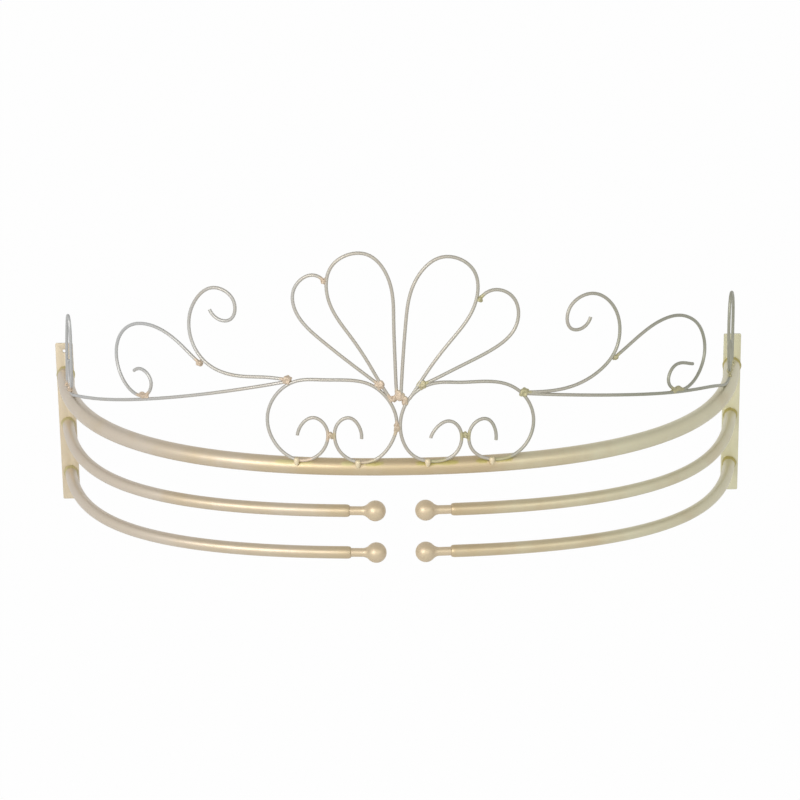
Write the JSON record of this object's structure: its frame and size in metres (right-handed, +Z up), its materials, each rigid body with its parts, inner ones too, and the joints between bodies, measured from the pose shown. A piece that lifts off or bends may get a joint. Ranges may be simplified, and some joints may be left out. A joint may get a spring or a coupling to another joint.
{
  "type": "bed crown canopy rail",
  "caption": "Wall-mounted bed crown with nested bow curtain rails, a bent-wire scroll crest over the top rail and pull-off ball finials at the split rails' ends.",
  "frame": {"origin": "on the wall plane, midway between the two wall plates, at the height of the upper rail's axis", "axes": "+X to the right as seen from the room, +Y into the wall, +Z up; the bows come out towards -Y"},
  "size_m": [0.9978, 0.4363, 0.4875],
  "materials": {
    "rail_paint": "satin champagne metallic paint",
    "plate_paint": "satin champagne metallic paint, a little yellower",
    "wire_paint": "satin champagne metallic paint on wire",
    "finial_paint": "satin champagne metallic paint on turned steel"
  },
  "bodies": {
    "frame": {"left_wall_plate": "plate_paint", "right_wall_plate": "plate_paint", "upper_rail": "rail_paint", "left_mid_rail": "rail_paint", "right_mid_rail": "rail_paint", "left_lower_rail": "rail_paint", "right_lower_rail": "rail_paint", "left_mid_socket": "rail_paint", "right_mid_socket": "rail_paint", "left_lower_socket": "rail_paint", "right_lower_socket": "rail_paint", "left_oval_scroll": "wire_paint", "left_inner_petal": "wire_paint", "left_outer_petal": "wire_paint", "left_tall_scroll": "wire_paint", "left_low_scroll": "wire_paint", "left_side_scroll": "wire_paint", "left_arm_wire": "wire_paint", "left_outer_peg": "wire_paint", "left_inner_peg": "wire_paint", "right_oval_scroll": "wire_paint", "right_inner_petal": "wire_paint", "right_outer_petal": "wire_paint", "right_tall_scroll": "wire_paint", "right_low_scroll": "wire_paint", "right_side_scroll": "wire_paint", "right_arm_wire": "wire_paint", "right_outer_peg": "wire_paint", "right_inner_peg": "wire_paint"},
    "left_mid_finial": {"left_mid_finial": "finial_paint"},
    "right_mid_finial": {"right_mid_finial": "finial_paint"},
    "left_lower_finial": {"left_lower_finial": "finial_paint"},
    "right_lower_finial": {"right_lower_finial": "finial_paint"}
  },
  "joints": [
    {"name": "left_mid_finial_pull", "type": "slide", "parent": "frame", "child": "left_mid_finial", "axis": [0.9983, -0.0585, 0], "range_m": [0, 0.0185]},
    {"name": "left_lower_finial_pull", "type": "slide", "parent": "frame", "child": "left_lower_finial", "axis": [0.9986, -0.0526, 0], "range_m": [0, 0.0185]},
    {"name": "right_mid_finial_pull", "type": "slide", "parent": "frame", "child": "right_mid_finial", "axis": [-0.9983, -0.0585, 0], "range_m": [0, 0.0185]},
    {"name": "right_lower_finial_pull", "type": "slide", "parent": "frame", "child": "right_lower_finial", "axis": [-0.9986, -0.0526, 0], "range_m": [0, 0.0185]}
  ]
}
